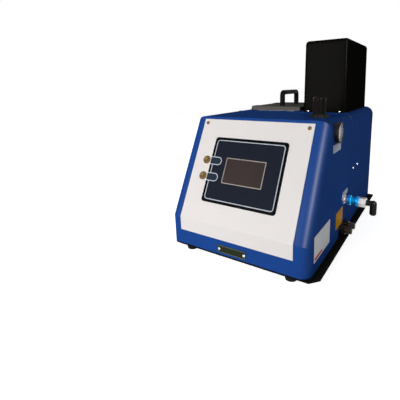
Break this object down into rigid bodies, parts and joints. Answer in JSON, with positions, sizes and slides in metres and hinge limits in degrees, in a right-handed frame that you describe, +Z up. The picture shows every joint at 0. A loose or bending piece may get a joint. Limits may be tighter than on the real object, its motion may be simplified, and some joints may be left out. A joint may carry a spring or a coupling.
{
  "type": "hot melt glue unit",
  "caption": "Bench-top hot melt glue unit with a sloping control panel, a heated tank under a hinged lid, and an air-driven piston pump under a tall cover.",
  "frame": {"origin": "on the floor under the middle of the machine's box", "axes": "+Z up, -Y towards the operator at the control panel, +X towards the air controls and hose outlets"},
  "size_m": [0.4104, 0.5748, 0.481],
  "materials": {
    "hood_blue": "satin powder coat with a fine orange peel",
    "panel_white": "smooth satin white paint",
    "base_black": "matt black powder coat",
    "cover_black": "satin black powder coat",
    "lid_grey": "dull dark grey coating",
    "plate_dark": "dark bronze-green satin plate",
    "dial_white": "matt white dial paint",
    "needle_black": "matt black",
    "steel": "plain bright steel",
    "nipple_steel": "blackened steel",
    "tank_aluminium": "cast and machined",
    "sleeve_blue": "bright blue anodised",
    "foot_rubber": "matt black rubber",
    "seal_red": "red-brown silicone rubber",
    "overlay_navy": "matt printed film",
    "black_plastic": "fine-grained black plastic",
    "handle_black": "moulded heat-proof plastic",
    "board_green": "solder mask",
    "knob_black": "semi-gloss moulded plastic",
    "tube_blue": "smooth polyurethane tube",
    "jacket_fibre": "woven glass fibre",
    "screen_dark": "dark touch screen",
    "lens_clear": "clear glass"
  },
  "bodies": {
    "cabinet": {"base_plate": "base_black", "rubber_feet": "foot_rubber", "foot_screws": "steel", "front_hood": "hood_blue", "rear_hood": "hood_blue", "front_panel": "panel_white", "panel_screws": "steel", "control_overlay": "overlay_navy", "screen_housing": "black_plastic", "screen_frame": "steel", "screen_glass": "screen_dark", "button_barrels": "steel", "name_plate": "plate_dark", "small_screws": "steel", "regulator_body": "black_plastic", "regulator_ring_nut": "black_plastic", "gauge_case": "black_plastic", "gauge_dial": "dial_white", "gauge_lens": "lens_clear", "inlet_bulkhead": "steel", "slide_valve_body": "steel", "air_tubes": "tube_blue", "tank": "tank_aluminium", "tank_jacket": "jacket_fibre", "tank_heaters": "steel", "tank_sensors": "steel", "standoffs": "steel", "feed_pipe": "steel", "hinge_brackets": "lid_grey", "hinge_pins": "steel", "glue_manifold": "tank_aluminium", "glue_filter": "steel", "hose_nipples": "nipple_steel", "pump_body": "steel", "pump_columns": "steel", "air_cylinder": "tank_aluminium", "cylinder_plates": "tank_aluminium", "tie_rods": "steel", "shift_valve": "black_plastic", "pump_cover": "cover_black", "heat_shield": "steel", "power_supply": "steel", "control_board": "board_green", "heater_relay": "black_plastic", "terminal_block": "black_plastic", "cable_gland": "black_plastic"},
    "lid": {"tank_lid": "lid_grey", "lid_seal": "seal_red", "lid_handle": "handle_black", "handle_screws": "steel"},
    "start_button": {"upper_button": "steel"},
    "stop_button": {"lower_button": "steel"},
    "knob": {"regulator_knob": "knob_black"},
    "needle": {"gauge_needle": "needle_black"},
    "sleeve": {"slide_valve_sleeve": "sleeve_blue"},
    "elbow": {"air_elbow": "black_plastic", "elbow_collet": "knob_black"},
    "piston": {"pump_plunger": "steel", "piston_rod": "steel", "air_piston": "tank_aluminium"}
  },
  "joints": [
    {"name": "lid_hinge", "type": "hinge", "parent": "cabinet", "child": "lid", "pos_m": [-0.1772, 0.1444, 0.3075], "axis": [0, -1, 0], "range_deg": [0, 100]},
    {"name": "upper_button_press", "type": "slide", "parent": "cabinet", "child": "start_button", "axis": [0, 0.8886, -0.4586], "range_m": [0, 0.0022], "stiffness_N_per_m": 800},
    {"name": "lower_button_press", "type": "slide", "parent": "cabinet", "child": "stop_button", "axis": [0, 0.8886, -0.4586], "range_m": [0, 0.0022], "stiffness_N_per_m": 800},
    {"name": "regulator_turn", "type": "hinge", "parent": "cabinet", "child": "knob", "pos_m": [0.0828, -0.1046, 0.32], "axis": [0, 0, 1], "range_deg": [-630, 630]},
    {"name": "needle_turn", "type": "hinge", "parent": "cabinet", "child": "needle", "pos_m": [0.134, -0.1346, 0.274], "axis": [-1, 0, 0], "range_deg": [-75, 195], "stiffness_Nm_per_rad": 0.001},
    {"name": "valve_slide", "type": "slide", "parent": "cabinet", "child": "sleeve", "axis": [-1, 0, 0], "range_m": [0, 0.005]},
    {"name": "elbow_swivel", "type": "hinge", "parent": "cabinet", "child": "elbow", "pos_m": [0.18, -0.0566, 0.105], "axis": [1, 0, 0], "continuous": true},
    {"name": "pump_stroke", "type": "slide", "parent": "cabinet", "child": "piston", "axis": [0, 0, 1], "range_m": [0, 0.05]}
  ]
}
